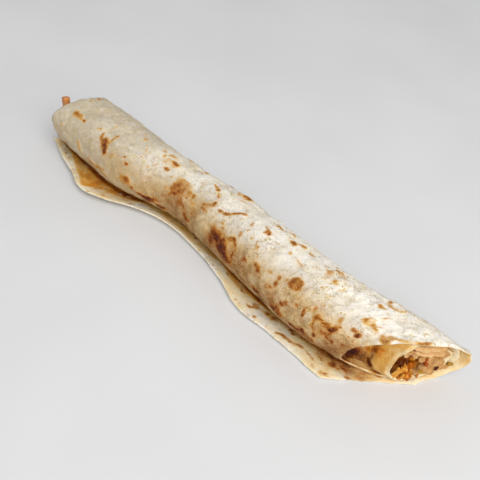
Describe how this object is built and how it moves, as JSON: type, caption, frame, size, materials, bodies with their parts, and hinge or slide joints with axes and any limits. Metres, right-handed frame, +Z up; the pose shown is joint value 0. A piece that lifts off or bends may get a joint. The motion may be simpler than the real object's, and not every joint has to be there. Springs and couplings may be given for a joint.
{
  "type": "lavash wrap",
  "caption": "Long flatbread wrap lying on its own loose flap, with an open slanted end that shows the filling and an orange vegetable stick that stands out at the far end.",
  "frame": {"origin": "middle of the wrap's footprint, on the surface it lies on", "axes": "+X along the roll to the slanted open end, +Z up, and the loose flap lies out on the -Y side"},
  "size_m": [0.3441, 0.0753, 0.0453],
  "materials": {
    "lavash": "dry floury flatbread with browned blisters",
    "filling": "moist sauced shredded filling",
    "orange_stick": "moist cut orange vegetable"
  },
  "bodies": {
    "root": {"lavash": "lavash", "filling": "filling", "orange_stick": "orange_stick"}
  },
  "joints": []
}
